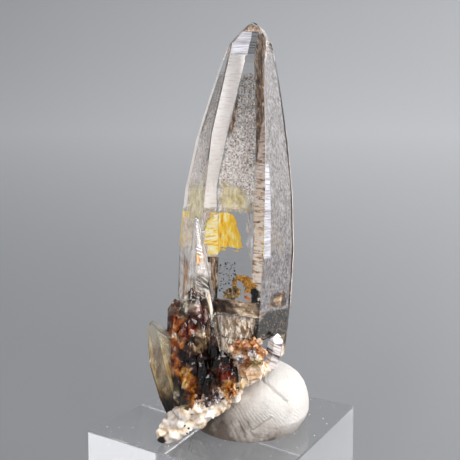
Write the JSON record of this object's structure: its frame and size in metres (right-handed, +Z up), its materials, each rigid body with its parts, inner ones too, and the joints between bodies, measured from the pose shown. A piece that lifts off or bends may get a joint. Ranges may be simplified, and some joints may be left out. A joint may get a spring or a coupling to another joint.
{
  "type": "quartz crystal specimen on a display cube",
  "caption": "Steeply tapering clear quartz point with rust-stained crystals and white feldspar at its foot, held upright by putty on a clear acrylic cube",
  "frame": {"origin": "the middle of the acrylic cube's underside, which is the bottom centre of the whole object's box", "axes": "+Z is up through the cube and the crystal, -Y is the side that the specimen's best face looks to, and +X is to the right of someone looking at that face. The cube is turned by 31.9 degrees about +Z against the specimen"},
  "size_m": [0.052, 0.052, 0.1137],
  "materials": {
    "quartz": "natural crystal faces, clear above and stained brown and orange at the foot, with opaque white feldspar under it",
    "putty": "matt, with fine finger marks",
    "acrylic": "polished clear acrylic, lightly scratched on top"
  },
  "bodies": {
    "root": {"quartz_specimen": "quartz", "putty": "putty", "acrylic_cube": "acrylic"}
  },
  "joints": []
}
